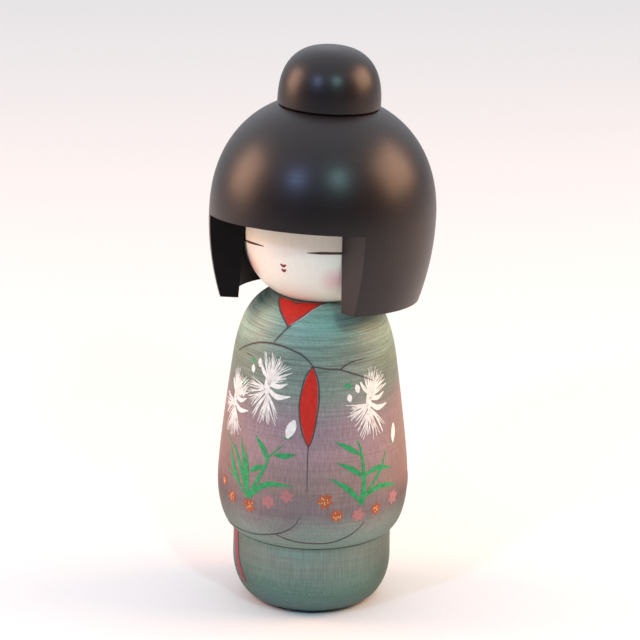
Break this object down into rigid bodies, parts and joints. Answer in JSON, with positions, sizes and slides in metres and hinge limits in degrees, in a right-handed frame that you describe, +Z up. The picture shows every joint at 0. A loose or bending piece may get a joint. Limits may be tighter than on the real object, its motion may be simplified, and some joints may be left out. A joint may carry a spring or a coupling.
{
  "type": "kokeshi doll",
  "caption": "Turned wooden doll with a barrel-shaped kimono body, a round head with hollow bobbed hair and a top knot, and a head that swivels on a neck peg.",
  "frame": {"origin": "centre of the flat bottom of the body, on its turning axis", "axes": "+Z up along the body's turning axis, -Y the way the doll faces, +X to the doll's own left"},
  "size_m": [0.0952, 0.095, 0.2407],
  "materials": {
    "dyed_wood": "dyed grey-green to mauve over fine turned grooves, waxed",
    "peg_wood": "bare turned wood",
    "painted_face": "smooth ivory paint, satin",
    "lacquered_hair": "brown-black lacquer, satin",
    "painted_lines": "dark brushed lines",
    "red_lining": "red paint, satin",
    "white_petals": "raised white paint",
    "green_leaves": "green paint, satin",
    "orange_blossoms": "orange-brown paint dots"
  },
  "bodies": {
    "kimono": {"body": "dyed_wood", "neck_peg": "peg_wood"},
    "head": {"face": "painted_face", "hair": "lacquered_hair", "crown_peg": "peg_wood", "bun": "lacquered_hair"}
  },
  "joints": [
    {"name": "head_turn", "type": "hinge", "parent": "kimono", "child": "head", "pos_m": [0, 0, 0.136], "axis": [0, 0, 1], "continuous": true}
  ]
}
